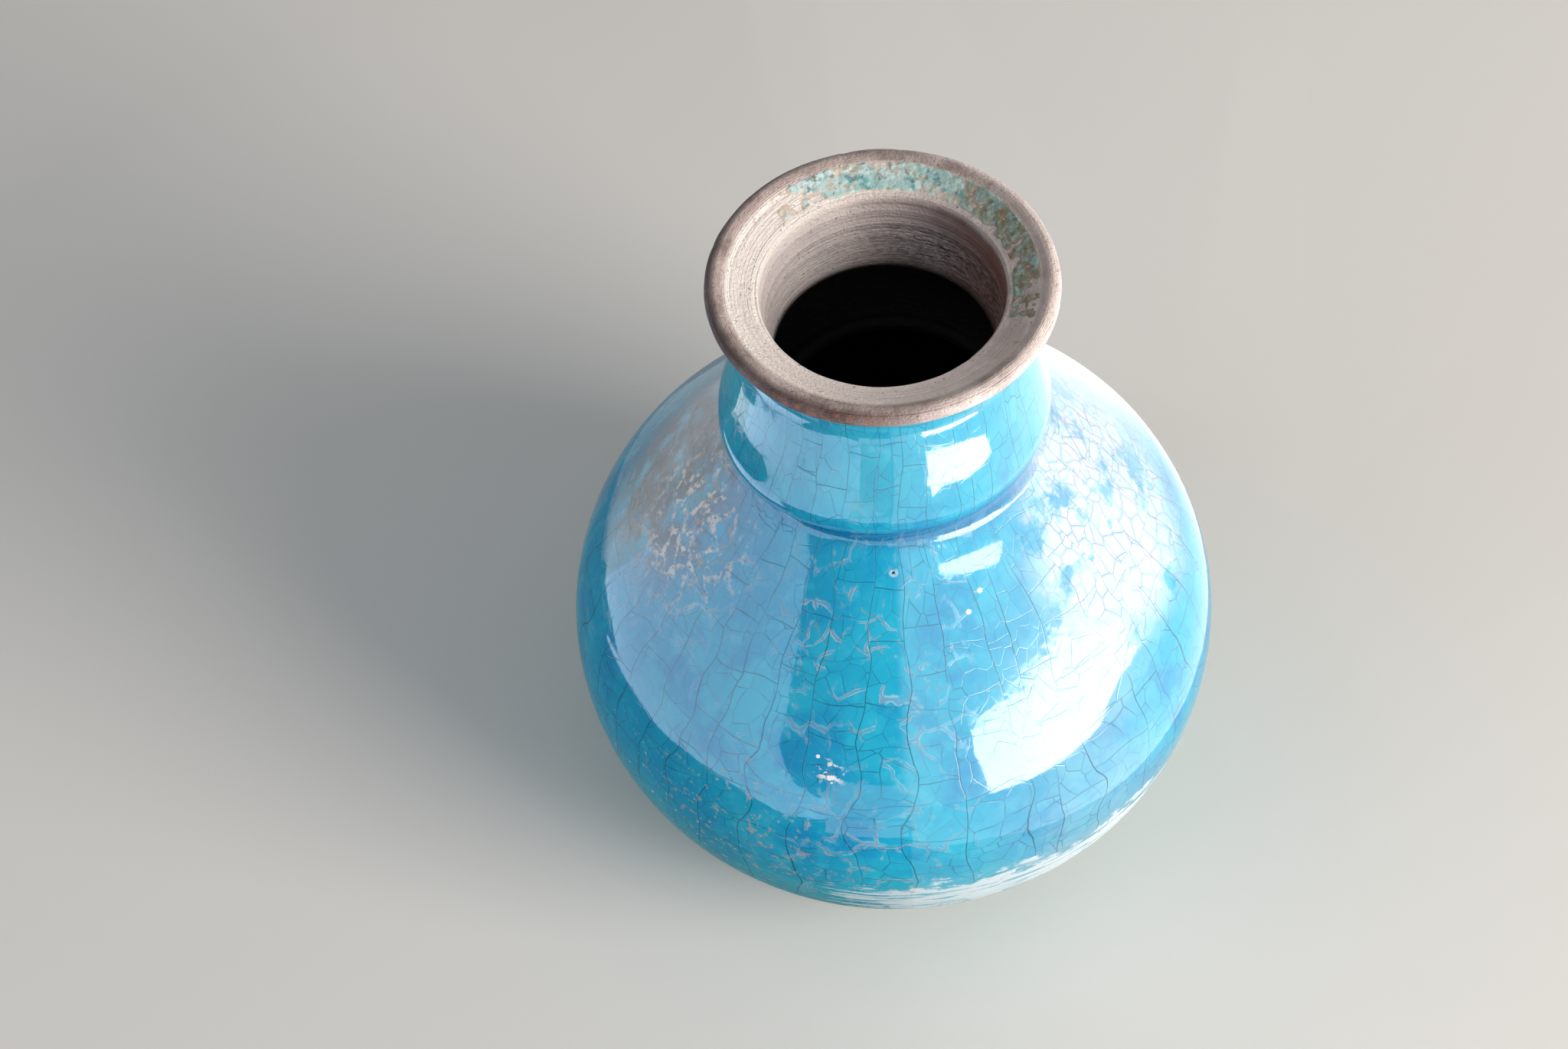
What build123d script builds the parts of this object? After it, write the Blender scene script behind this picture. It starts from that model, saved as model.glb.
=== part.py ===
from build123d import *
import os
from math import acos, asin, atan2, cos, degrees, hypot, radians, sin, tan

# A wheel-thrown jar: a squat body and a flared neck, thrown apart and luted together with slip,
# then coated outside with a turquoise glaze. Millimetres, +Z up, origin under the foot's centre.
# Every outline is a half section: the first number is the radius, the second the height. Its arcs
# and straight runs meet without a corner, so that a coat on it has the same centres.

# Body
belly_radius = 74.3
belly_height = 51.5
upper_round = 50.0
lower_round = 55.9
lower_sweep = 20.3
joint_height = 121.6
joint_ledge = 3.6
joint_width = 8.0
body_wall = 5.6
floor_height = 9.6

# Foot ring, turned from the body when it was leather hard
foot_radius = 38.0
foot_height = 4.3
foot_taper = 1.1
foot_chamfer = 0.7
foot_width = 5.6
recess_height = 2.8
recess_crown = 0.8

# Neck, in its own frame, which stands on the slip, off the body's axis, and leans to the left
neck_offset = 1.45
neck_lean = 1.05
neck_height = 46.1
neck_base_radius = 30.6
neck_base_width = 4.8
bulb_swell = 4.8
bulb_height = 7.4
bulb_round = 13.0
waist_draw = 4.7
neck_wall = 6.3

# Flared mouth
lip_flare = 6.8
lip_round = 2.3
lip_under_angle = -60.0
lip_over_angle = 118.0
flare_drop = 3.5
flare_edge_round = 0.8
throat_wall = 4.8
throat_taper = 2.2
throat_length = 19.5
ring_count = 5
ring_depth = 0.35

# Luting slip between the two clay pieces
slip_bed = 1.3
slip_rise = 3.2
slip_slope = 24.0
slip_bead = 2.2

# Glaze coats
glaze = 0.6
coat_bed = 1.5
bare_foot_sweep = 18.0
bare_lip_sweep = 2.0
roll_radius = 1.2
crease_slope = 35.0
crease_rise = 2.7
crease_round = 0.8
ridge_width = 2.2
ridge_height = 0.35
mouth_coat = 0.35
mouth_coat_shares = (0.14, 0.93)
mouth_coat_start = -15.0
mouth_coat_sweep = 165.0


def on_arc(centre, radius, angle):
    """The point of a circle at an angle above the outward horizontal."""
    return (centre[0] + radius * cos(radians(angle)), centre[1] + radius * sin(radians(angle)))


def angle_to(start, end):
    """The angle above the outward horizontal at which end is seen from start."""
    return degrees(atan2(end[1] - start[1], end[0] - start[0]))


# The neck's radii follow from its base, which the body's joint also follows
joint_radius = neck_base_radius + joint_ledge
bulb_radius = neck_base_radius + bulb_swell
waist_radius = bulb_radius - waist_draw
lip_radius = waist_radius + lip_flare
throat_mouth_radius = waist_radius - throat_wall
throat_radius = throat_mouth_radius - throat_taper

# Body's outer line: an arc above the widest line, up to the shoulder's straight slope, and two
# arcs below it, down to the top of the foot ring
joint_edge = (joint_radius, joint_height)
foot_edge = (foot_radius, foot_height)
upper_centre = (belly_radius - upper_round, belly_height)
lower_centre = (belly_radius - lower_round, belly_height)
joint_reach = hypot(joint_radius - upper_centre[0], joint_height - upper_centre[1])
upper_sweep = angle_to(upper_centre, joint_edge) - degrees(acos(upper_round / joint_reach))
lower_end = on_arc(lower_centre, lower_round, -lower_sweep)
foot_chord = hypot(foot_edge[0] - lower_end[0], foot_edge[1] - lower_end[1])
foot_turn = angle_to(lower_end, foot_edge) - (-90 - lower_sweep)
foot_round = -foot_chord / (2 * sin(radians(foot_turn)))
foot_centre = on_arc(lower_end, foot_round, 180 - lower_sweep)
foot_angle = angle_to(foot_centre, foot_edge)
cavity_round = foot_round - body_wall
cavity_angle = degrees(asin((floor_height - foot_centre[1]) / cavity_round))


def shoulder_spot(down, out):
    """A point this far down the shoulder from the joint, and this far out from its clay."""
    return on_arc(on_arc(joint_edge, out, upper_sweep), down, upper_sweep - 90)


def body_outline(amount, first_angle, down):
    """The body's outer line, moved out by an amount and ending this far down from the joint."""
    CenterArc(foot_centre, foot_round + amount, first_angle, -lower_sweep - first_angle)
    CenterArc(lower_centre, lower_round + amount, -lower_sweep, lower_sweep)
    CenterArc(upper_centre, upper_round + amount, 0, upper_sweep)
    Line(on_arc(upper_centre, upper_round + amount, upper_sweep), shoulder_spot(down, amount))


# Neck's outer line: an arc under the bulb, one over it, a straight run and the arc of the waist,
# which ends on the lip's round
lip_centre = (lip_radius - lip_round, neck_height - lip_round)
lip_under = on_arc(lip_centre, lip_round, lip_under_angle)
lip_over = on_arc(lip_centre, lip_round, lip_over_angle)
waist_round = (lip_under[0] - waist_radius) / (1 - cos(radians(lip_under_angle)))
waist_centre = on_arc(lip_under, waist_round, lip_under_angle)
bulb_centre = (bulb_radius - bulb_round, bulb_height)
bulb_reach = hypot(waist_centre[0] - bulb_centre[0], waist_centre[1] - bulb_centre[1])
breast_lean = degrees(acos((bulb_round + waist_round) / bulb_reach))
breast_angle = angle_to(bulb_centre, waist_centre) - breast_lean
under_step = bulb_radius - neck_base_radius
under_round = (under_step ** 2 + bulb_height ** 2) / (2 * under_step)
under_centre = (bulb_radius - under_round, bulb_height)
under_angle = angle_to(under_centre, (neck_base_radius, 0))


def neck_outline(amount, left_bare):
    """The neck's outer line, moved out by an amount, with an angle left bare below the lip."""
    CenterArc(under_centre, under_round + amount, under_angle, -under_angle)
    CenterArc(bulb_centre, bulb_round + amount, 0, breast_angle)
    Line(
        on_arc(bulb_centre, bulb_round + amount, breast_angle),
        on_arc(waist_centre, waist_round - amount, breast_angle + 180),
    )
    waist_sweep = lip_under_angle + left_bare - breast_angle
    CenterArc(waist_centre, waist_round - amount, breast_angle + 180, waist_sweep)


# The neck's frame: off the axis and tipped about Y, so that the mouth lies to the body's left
neck_place = Vector(-neck_offset, 0, joint_height + slip_bed)
neck_up = Vector(-sin(radians(neck_lean)), 0, cos(radians(neck_lean)))
neck_axis = Axis(neck_place, neck_up)


def neck_section(turn):
    """The plane of a half section of the neck, turned about the neck's axis from the right."""
    out = Vector(cos(radians(neck_lean)), 0, sin(radians(neck_lean)))
    out = out.rotate(Axis((0, 0, 0), neck_up), turn)
    return Plane(origin=neck_place, x_dir=out, z_dir=out.cross(neck_up))


# Thrown body, with walls of one thickness and a flat floor inside
with BuildPart() as body:
    with BuildSketch(Plane.XZ):
        with BuildLine():
            ring_outside = foot_radius - foot_taper
            ring_inside = ring_outside - foot_width
            body_outline(0, foot_angle, 0)
            Polyline(
                joint_edge,
                (joint_radius - joint_width, joint_height),
                shoulder_spot(0, -body_wall),
            )
            body_outline(-body_wall, cavity_angle, 0)
            Polyline(
                on_arc(foot_centre, cavity_round, cavity_angle),
                (0, floor_height),
                (0, recess_height + recess_crown),
            )
            TangentArc(
                (0, recess_height + recess_crown),
                (ring_inside, recess_height),
                tangent=(1, 0),
            )
            Polyline(
                (ring_inside, recess_height),
                (ring_inside, foot_chamfer),
                (ring_inside + foot_chamfer, 0),
                (ring_outside - foot_chamfer, 0),
                (ring_outside, foot_chamfer),
                foot_edge,
            )
        make_face()
    revolve(axis=Axis.Z)
body.part.label = "body"

# Thrown neck with its rolled lip, flared mouth and the throwing rings of the throat
throat_top = neck_height - flare_drop - flare_edge_round
throat_foot = throat_top - throat_length
flare_end = (throat_mouth_radius + flare_edge_round, neck_height - flare_drop)
flare_centre = (throat_mouth_radius + flare_edge_round, throat_top)
with BuildPart() as neck:
    with BuildSketch(neck_section(0)):
        with BuildLine():
            neck_outline(0, 0)
            CenterArc(lip_centre, lip_round, lip_under_angle, lip_over_angle - lip_under_angle)
            flare_way = on_arc((0, 0), 1, lip_over_angle + 90)
            flare_line = TangentArc(lip_over, flare_end, tangent=flare_way)
            CenterArc(flare_centre, flare_edge_round, 90, 90)
            ring_length = throat_length / ring_count
            ring_step = (throat_mouth_radius - throat_radius) / ring_count
            for ring in range(ring_count):
                ring_radius = throat_mouth_radius - ring * ring_step
                ring_z = throat_top - ring * ring_length
                ThreePointArc(
                    (ring_radius, ring_z),
                    (ring_radius - ring_step / 2 + ring_depth, ring_z - ring_length / 2),
                    (ring_radius - ring_step, ring_z - ring_length),
                )
            ThreePointArc(
                (throat_radius, throat_foot),
                (bulb_radius - neck_wall, (bulb_height + throat_foot) / 2),
                (neck_base_radius - neck_base_width, 0),
            )
            Line((neck_base_radius - neck_base_width, 0), (neck_base_radius, 0))
        make_face()
    revolve(axis=neck_axis)
neck.part.label = "neck"

# Slip: a bed under the neck that slopes down to the body's edge outside and has a bead inside
with BuildPart() as luting_slip:
    slip_inside = joint_radius - joint_width
    slip_top = joint_height + slip_rise
    slip_peak = joint_radius - slip_rise / tan(radians(slip_slope))
    with BuildSketch(Plane.XZ):
        with BuildLine():
            Polyline(
                (slip_inside, joint_height),
                joint_edge,
                (slip_peak, slip_top),
            )
            ThreePointArc(
                (slip_peak, slip_top),
                (slip_inside - slip_bead, (slip_top + joint_height) / 2),
                (slip_inside, joint_height),
            )
        make_face()
    revolve(axis=Axis.Z)
    add(neck.part, mode=Mode.SUBTRACT)
luting_slip.part.label = "luting_slip"

# Outer glaze: a roll above the bare foot, the coat over belly and shoulder, a low ridge, and the
# crease, where the coat pools against the neck's own. What lies inside the clay is cut away.
crease_inside = neck_base_radius - neck_offset
crease_top = joint_height + crease_rise
crease_climb = crease_top - shoulder_spot(0, glaze)[1]
with BuildPart() as outer_glaze:
    with BuildSketch(Plane.XZ):
        with BuildLine():
            coat_angle = foot_angle + bare_foot_sweep
            body_outline(glaze, coat_angle, ridge_width)
            ThreePointArc(
                shoulder_spot(ridge_width, glaze),
                shoulder_spot(ridge_width / 2, glaze + ridge_height),
                shoulder_spot(0, glaze),
            )
            Polyline(
                shoulder_spot(0, glaze),
                on_arc(
                    shoulder_spot(0, glaze),
                    crease_climb / sin(radians(crease_slope)),
                    180 - crease_slope,
                ),
                (crease_inside, crease_top),
                (crease_inside, joint_height),
                shoulder_spot(0, -coat_bed),
            )
            body_outline(-coat_bed, coat_angle, 0)
            Line(
                on_arc(foot_centre, foot_round - coat_bed, coat_angle),
                on_arc(foot_centre, foot_round + glaze, coat_angle),
            )
        make_face()
        with Locations(on_arc(foot_centre, foot_round, coat_angle)):
            Circle(roll_radius)
    revolve(axis=Axis.Z)
    # The same coat over the neck, which ends square to the clay under the lip
    with BuildSketch(neck_section(0)):
        with BuildLine():
            neck_outline(glaze, bare_lip_sweep)
            neck_outline(-coat_bed, bare_lip_sweep)
            coat_end_angle = lip_under_angle + bare_lip_sweep + 180
            Line(
                on_arc(waist_centre, waist_round - glaze, coat_end_angle),
                on_arc(waist_centre, waist_round + coat_bed, coat_end_angle),
            )
            Line(
                on_arc(under_centre, under_round + glaze, under_angle),
                on_arc(under_centre, under_round - coat_bed, under_angle),
            )
        make_face()
    revolve(axis=neck_axis)
    crease = outer_glaze.edges(Select.NEW).sort_by(SortBy.LENGTH)[-1]
    fillet(crease, crease_round)
    add([body.part, luting_slip.part, neck.part], mode=Mode.SUBTRACT)
    # The neck's hollow too, so that none of the pool is left inside it
    with BuildSketch(neck_section(0)):
        with BuildLine():
            neck_outline(0, 0)
            Polyline(lip_under, (0, lip_under[1]), (0, 0), (neck_base_radius, 0))
        make_face()
    revolve(axis=neck_axis, mode=Mode.SUBTRACT)
outer_glaze.part.label = "outer_glaze"


def moved_out(line, amount, share):
    """The point at a share of a line, moved square to it."""
    spot = line @ share
    way = line % share
    return (spot.X + amount * way.Y, spot.Y - amount * way.X)


# Glaze that is left in the flare of the mouth, round the back and the right
with BuildPart() as mouth_glaze:
    with BuildSketch(neck_section(mouth_coat_start)):
        with BuildLine():
            first_share, last_share = mouth_coat_shares
            add(flare_line.trim(first_share, last_share))
            mouth_top = ThreePointArc(
                moved_out(flare_line, mouth_coat, first_share),
                moved_out(flare_line, mouth_coat, (first_share + last_share) / 2),
                moved_out(flare_line, mouth_coat, last_share),
            )
            Line(mouth_top @ 0, flare_line @ first_share)
            Line(mouth_top @ 1, flare_line @ last_share)
        make_face()
    revolve(axis=neck_axis, revolution_arc=mouth_coat_sweep)
mouth_glaze.part.label = "mouth_glaze"

os.makedirs("parts", exist_ok=True)
export_step(body.part, "parts/body.step")
export_step(neck.part, "parts/neck.step")
export_step(luting_slip.part, "parts/luting_slip.step")
export_step(outer_glaze.part, "parts/outer_glaze.step")
export_step(mouth_glaze.part, "parts/mouth_glaze.step")
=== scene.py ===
import math

import bpy
import numpy as np
from mathutils import Matrix, Vector, noise


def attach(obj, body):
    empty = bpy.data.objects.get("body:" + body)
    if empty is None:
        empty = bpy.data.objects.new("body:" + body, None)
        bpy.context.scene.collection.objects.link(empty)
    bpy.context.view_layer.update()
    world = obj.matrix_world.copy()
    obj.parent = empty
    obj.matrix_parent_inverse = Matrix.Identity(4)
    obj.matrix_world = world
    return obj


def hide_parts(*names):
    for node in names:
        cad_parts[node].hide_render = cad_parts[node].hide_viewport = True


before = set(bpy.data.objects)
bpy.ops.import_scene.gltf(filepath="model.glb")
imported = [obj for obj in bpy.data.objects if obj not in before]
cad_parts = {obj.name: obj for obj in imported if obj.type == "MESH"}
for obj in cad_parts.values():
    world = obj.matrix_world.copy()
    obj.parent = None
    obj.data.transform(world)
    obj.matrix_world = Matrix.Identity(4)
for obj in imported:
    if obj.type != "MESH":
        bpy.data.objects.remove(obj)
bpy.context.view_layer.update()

# Camera. A long lens, 0.77 m from the jar's middle, that looks down at the jar's front at 53.6
# degrees and is turned a little to the left.
camera_place = (0.0, -0.4546, 0.6983)
camera_pitch = math.radians(53.58)
camera_turn = math.radians(1.8685)

ahead = np.array([0.0, math.cos(camera_pitch), -math.sin(camera_pitch)])
upwards = np.array([0.0, math.sin(camera_pitch), math.cos(camera_pitch)])
across = np.array([1.0, 0.0, 0.0])
sight = math.cos(camera_turn) * ahead - math.sin(camera_turn) * across
across = math.cos(camera_turn) * across + math.sin(camera_turn) * ahead


def place_by_axes(thing, side, top, back, place):
    """Puts a camera or lamp at a place, in metres, with its own three axes along these."""
    rows = [[side[row], top[row], back[row], place[row]] for row in range(3)]
    thing.matrix_world = Matrix(rows + [[0, 0, 0, 1]])
    bpy.context.scene.collection.objects.link(thing)


camera = bpy.data.objects.new("camera", bpy.data.cameras.new("camera"))
camera.data.lens = 76.78
camera.data.sensor_width = 36.0
place_by_axes(camera, across, upwards, -sight, camera_place)
bpy.context.scene.camera = camera
bpy.context.scene.view_settings.view_transform = "Standard"


# Floor. A plain pale sheet, painted matt, that the foot ring stands on.
# It gives a soft shadow and a little light from below.
def linear(hex_colour):
    """An sRGB hex colour as the linear colour that a node takes."""
    parts = [int(hex_colour[place : place + 2], 16) / 255 for place in (1, 3, 5)]
    return [
        part / 12.92 if part <= 0.04045 else ((part + 0.055) / 1.055) ** 2.4
        for part in parts
    ] + [1.0]


def put(material, kind, links=None, out=0, **settings):
    """Adds a node with its settings, sets or links its inputs, and returns one of its outputs."""
    node = material.node_tree.nodes.new("ShaderNode" + kind)
    for name, value in settings.items():
        setattr(node, name, value)
    for name, value in (links or {}).items():
        if isinstance(value, bpy.types.NodeSocket):
            material.node_tree.links.new(value, node.inputs[name])
        else:
            hex_colour = isinstance(value, str)
            node.inputs[name].default_value = linear(value) if hex_colour else value
    return node.outputs[out] if node.outputs else node


def new_material(name):
    """An empty node material."""
    material = bpy.data.materials.new(name)
    material.use_nodes = True
    material.node_tree.nodes.clear()
    return material


floor_half = 2.5
floor_mesh = bpy.data.meshes.new("floor")
floor_mesh.from_pydata(
    [
        (-floor_half, -floor_half, 0),
        (floor_half, -floor_half, 0),
        (floor_half, floor_half, 0),
        (-floor_half, floor_half, 0),
    ],
    [],
    [(0, 1, 2, 3)],
)
floor = bpy.data.objects.new("floor", floor_mesh)
bpy.context.scene.collection.objects.link(floor)
floor_paint = new_material("matt_pale_floor_paint")
painted = put(
    floor_paint,
    "BsdfPrincipled",
    {"Base Color": "#DEDCD8", "Roughness": 0.9, "Specular IOR Level": 0.2},
)
put(floor_paint, "OutputMaterial", {"Surface": painted})
floor_mesh.materials.append(floor_paint)

# Studio light. A soft key lamp low at the right, a weak cool fill at the left, a plain grey world.
# The glaze mirrors glowing cards that light nothing else: bright at the right, before a dim wall
# and floor that reach round to the front, and cool at the left and back, over a dark cloth.
world_grey = 0.3
key_power = 34.0
fill_power = 5.0
bright_radiance = 20.0
neck_radiance = 19.0
dim_radiance = 3.1
cool_radiance = 4.2
floor_radiance = 2.2
front_radiance = 1.9
cloth_radiance = 0.38
back_radiance = 2.2
cool_light = "#CDDDF6"
back_light = "#DDE2E4"

world = bpy.data.worlds.new("plain_grey_room")
world.use_nodes = True
grey_room = world.node_tree.nodes["Background"].inputs["Color"]
grey_room.default_value = (world_grey, world_grey, world_grey, 1)
bpy.context.scene.world = world


def add_lamp(name, place, target, size, power, colour):
    """A square soft lamp that looks at a target, in metres, and doesn't show in the glaze."""
    lamp = bpy.data.objects.new(name, bpy.data.lights.new(name, "AREA"))
    lamp.data.size = size
    lamp.data.energy = power
    lamp.data.color = linear(colour)[:3]
    away = np.array(place) - np.array(target)
    away = away / np.linalg.norm(away)
    side = np.cross((0, 0, 1), away)
    side = side / np.linalg.norm(side)
    lamp.visible_camera = False
    lamp.visible_glossy = False
    place_by_axes(lamp, side, np.cross(away, side), away, place)


jar_middle = (0.0, 0.0, 0.09)
key_size = 0.9
fill_size = 1.0
add_lamp("key_lamp", (1.25, -0.7, 0.6), jar_middle, key_size, key_power, "#FFF6EE")
add_lamp("fill_lamp", (-1.2, -0.6, 0.7), jar_middle, fill_size, fill_power, "#CFE4F7")


def add_softbox(name, lower, upper, radiance, colour="#FFFFFF"):
    """A glowing card between two lines of points, in mm, that only shows in the glaze."""
    spots = [(x / 1000, y / 1000, z / 1000) for x, y, z in lower + upper]
    count = len(lower)
    faces = [(p, p + 1, count + p + 1, count + p) for p in range(count - 1)]
    mesh = bpy.data.meshes.new(name)
    mesh.from_pydata(spots, [], faces)
    card = bpy.data.objects.new(name, mesh)
    bpy.context.scene.collection.objects.link(card)
    lit_cloth = new_material(name + "_cloth")
    glow = put(lit_cloth, "Emission", {"Color": colour, "Strength": radiance})
    put(lit_cloth, "OutputMaterial", {"Surface": glow})
    mesh.materials.append(lit_cloth)
    card.visible_camera = False
    card.visible_diffuse = False
    card.visible_shadow = False


right_low = [(179, -358, 19), (290, -275, 19), (355, -184, 34), (368, -158, 76), (384, -112, 96)]
right_low += [(398, -55, 88), (399, 20, 70), (372, 130, 36), (345, 200, 2)]
right_high = [(167, -363, 180), (272, -293, 170), (356, -183, 146), (368, -158, 139)]
right_high += [(384, -112, 125), (399, -45, 108), (399, 20, 90), (372, 130, 48), (345, 200, 5)]
add_softbox("right_softbox", right_low, right_high, bright_radiance)
# Two small cards close to the jar give the neck and the shoulder their own bright patches
neck_low = [(17.4, -50.1, 126.2), (23.1, -47.7, 128.4), (29.8, -43.8, 127.8)]
neck_low += [(36, -38.9, 126.8), (42, -32.4, 128.2)]
neck_high = [(16.4, -50.4, 137.6), (23.5, -47.5, 137), (29.9, -43.8, 135.9)]
neck_high += [(35.7, -39.2, 134.8), (41.4, -33, 133)]
add_softbox("neck_softbox", neck_low, neck_high, neck_radiance)
add_softbox(
    "shoulder_softbox",
    [(20.3, -60.5, 123.4), (26.1, -58.5, 122.4), (37, -52.2, 120.7), (43.2, -47.3, 119.6)],
    [(20.9, -60.3, 125.6), (27.9, -57.6, 125.6), (40.1, -49.9, 124.7), (47.5, -42.8, 122.6)],
    neck_radiance,
)


def on_circle(radius, first, last, z, count=24):
    """Points along an arc round the jar's axis, in mm, between two angles in degrees."""
    turns = np.radians(np.linspace(first, last, count))
    return [(radius * math.cos(turn), radius * math.sin(turn), z) for turn in turns]


# The dim wall's front end fades in over three narrow strips
wall_radius = 480
wall_height = 520
dim_ends = (-85, 100)
dim_strips = ((-88.5, -87.3, 0.25), (-87.3, -86.2, 0.5), (-86.2, -85, 0.75), (*dim_ends, 1.0))
for number, (first, last, share) in enumerate(dim_strips):
    add_softbox(
        f"right_dim_softbox_{number}",
        on_circle(wall_radius, first, last, 2),
        on_circle(wall_radius, first, last, wall_height),
        share * dim_radiance,
    )
dim_inner = [(13, -160), (60, -140), (95, -85), (112, -30)]
dim_inner += [(115, 10), (105, 60), (80, 100), (-20, 130)]
add_softbox(
    "right_dim_floor_card",
    [(x, y, 1) for x, y in dim_inner],
    on_circle(wall_radius, *dim_ends, 1, len(dim_inner)),
    floor_radiance,
)
# Each front card lies between two arcs, given by their radius and height
front_ends = (-107, -86)
front_points = 8
front_cards = (
    ("front_dim_softbox", (300, 6), (300, 95), 1.0),
    ("front_dim_floor_card", (190, 2), (284, 2), 1.0),
    ("front_far_floor_card", (284, 1), (420, 1), 0.5),
)
for name, (near, near_height), (far, far_height), share in front_cards:
    add_softbox(
        name,
        on_circle(near, *front_ends, near_height, front_points),
        on_circle(far, *front_ends, far_height, front_points),
        share * front_radiance,
    )
cloth_ends = (95, 274.5)
cloth_inner, cloth_outer = 50, 800
cloth_height = 0.5
add_softbox(
    "left_floor_cloth",
    on_circle(cloth_inner, *cloth_ends, cloth_height),
    on_circle(cloth_outer, *cloth_ends, cloth_height),
    cloth_radiance,
    "#9CCBD2",
)
left_line = [(-292, -65), (-284, -95), (-275, -118), (-268, -136), (-235, -187)]
left_line += [(-198, -226), (-170, -247), (-138, -266), (-108, -280), (-78, -290)]
left_heights = (4, 45, 84, 185, 195, 185, 148, 64, 44, 40)
add_softbox(
    "left_softbox",
    [(x, y, 2) for x, y in left_line],
    [(x, y, z) for (x, y), z in zip(left_line, left_heights)],
    cool_radiance,
    cool_light,
)
low_inner = [(-216, 19), (-232, -18), (-237, -51), (-226, -80)]
low_inner += [(-215, -126), (-203, -165), (-157, -192), (-100, -191), (-77, -240)]
low_outer = [(-228, 22), (-262, -1), (-285, -50), (-284, -95)]
low_outer += [(-268, -136), (-235, -187), (-170, -247), (-138, -266), (-78, -290)]
add_softbox(
    "left_low_softbox",
    [(x, y, 2) for x, y in low_inner],
    [(x, y, 2) for x, y in low_outer],
    cool_radiance,
    cool_light,
)
tall_line = [(-270, -130), (-289, -79), (-300, 0), (-297, 50), (-286, 90), (-277, 112)]
tall_low = [(x, y, z) for (x, y), z in zip(tall_line, (88, 88, 88, 60, 34, 2))]
tall_high = [(x, y, z) for (x, y), z in zip(tall_line, (185, 170, 150, 130, 118, 105))]
far_cool_radiance = 0.7 * cool_radiance
add_softbox("left_high_softbox", tall_low[:4], tall_high[:4], cool_radiance, cool_light)
add_softbox("left_high_back_softbox", tall_low[3:], tall_high[3:], far_cool_radiance, back_light)
back_line = [(-277, 112), (-260, 150), (-238, 183), (-200, 223), (-120, 275)]
add_softbox(
    "left_back_softbox",
    [(x, y, 2) for x, y in back_line],
    [(x, y, z) for (x, y), z in zip(back_line, (105, 85, 75, 70, 60))],
    back_radiance,
    back_light,
)
back_inner = [(-222, 93, 2), (-200, 120, 2), (-165, 133, 2), (-119, 130, 2), (-40, 125, 2)]
back_middle = [(-240, 104, 2), (-222, 138, 2), (-190, 165, 2), (-140, 170, 2), (-60, 170, 2)]
back_outer = [(x, y, 2) for x, y in back_line]
add_softbox("left_back_floor_card", back_inner, back_middle, 0.27 * back_radiance, back_light)
add_softbox("left_back_far_floor_card", back_middle, back_outer, 0.6 * back_radiance, back_light)
near_radius = 95
near_ends = (95, 158)
add_softbox(
    "left_back_near_softbox",
    on_circle(near_radius, *near_ends, 4),
    on_circle(near_radius, *near_ends, 55),
    0.14 * back_radiance,
    back_light,
)
near_line = [(-79, -62), (-87, -50), (-95, -28), (-98.5, -14), (-99.5, 4), (-99, 14), (-97, 27)]
near_low = [(x, y, z) for (x, y), z in zip(near_line, (58, 58, 62, 66, 66, 70, 75))]
near_high = [(x, y, z) for (x, y), z in zip(near_line, (101, 102, 101, 97, 90, 86, 83))]
add_softbox("left_near_softbox", near_low[:5], near_high[:5], cool_radiance, cool_light)
add_softbox("left_near_back_softbox", near_low[4:], near_high[4:], far_cool_radiance, back_light)


# Body. A squat belly thrown on the wheel in brown-grey clay, with a foot ring turned from it when
# leather hard. The glaze hides it but for the foot, where the fired clay is bare: matt, cloudy and
# gritty. Above the foot's top it is painted near black: painted shade for the unlit inside of the
# jar.
def in_millimetres(material):
    """The place on the jar in mm, from which every pattern's scale is worked out."""
    place = put(material, "TexCoord", out="Object")
    return put(material, "VectorMath", {0: place, "Scale": 1000.0}, operation="SCALE")


def patchy(material, place, size_mm, bare, full, detail=4.0, most=1.0, least=0.0):
    """How much there is of a patchy thing, in patches of a real size, from least to most."""
    cloud = put(
        material,
        "TexNoise",
        {"Vector": place, "Scale": 1.0 / size_mm, "Detail": detail, "Roughness": 0.62},
    )
    return put(
        material,
        "MapRange",
        {0: cloud, 1: bare, 2: full, 3: least, 4: most},
        interpolation_type="SMOOTHSTEP",
    )


def between(material, value, low, high, at_low=0.0, at_high=1.0):
    """A share that goes smoothly from one number to another, never below 0."""
    share = put(
        material,
        "MapRange",
        {0: value, 1: low, 2: high, 3: at_low, 4: at_high},
        interpolation_type="SMOOTHSTEP",
    )
    return put(material, "Math", {0: share, 1: 0.0}, operation="MAXIMUM")


def together(material, *shares):
    """The product of shares, each a number or a socket."""
    product = shares[0]
    for share in shares[1:]:
        product = put(material, "Math", {0: product, 1: share}, operation="MULTIPLY")
    return product


def layered(material, colour, *layers):
    """Colours laid one over the other, each as much as the product of its shares."""
    for shade, *shares in layers:
        share = together(material, *shares)
        colour = put(
            material, "Mix", {0: share, 6: colour, 7: shade}, 2, data_type="RGBA"
        )
    return colour


def relief(material, *heights):
    """The surface's way out, with each height share raised by its own depth in mm."""
    links = {}
    for height, depth_mm in heights:
        links.update({"Height": height, "Strength": 1.0, "Distance": depth_mm / 1000})
        links["Normal"] = put(material, "Bump", links)
    return links["Normal"]


def finished(material, mesh, colour, roughness, way_out):
    """Ends a material with its colour, roughness and relief, at the IOR of clay and glaze alike,
    and puts it on a mesh."""
    surface = put(
        material,
        "BsdfPrincipled",
        {"Base Color": colour, "Roughness": roughness, "IOR": 1.5, "Normal": way_out},
    )
    put(material, "OutputMaterial", {"Surface": surface})
    mesh.materials.clear()
    mesh.materials.append(material)


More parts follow.
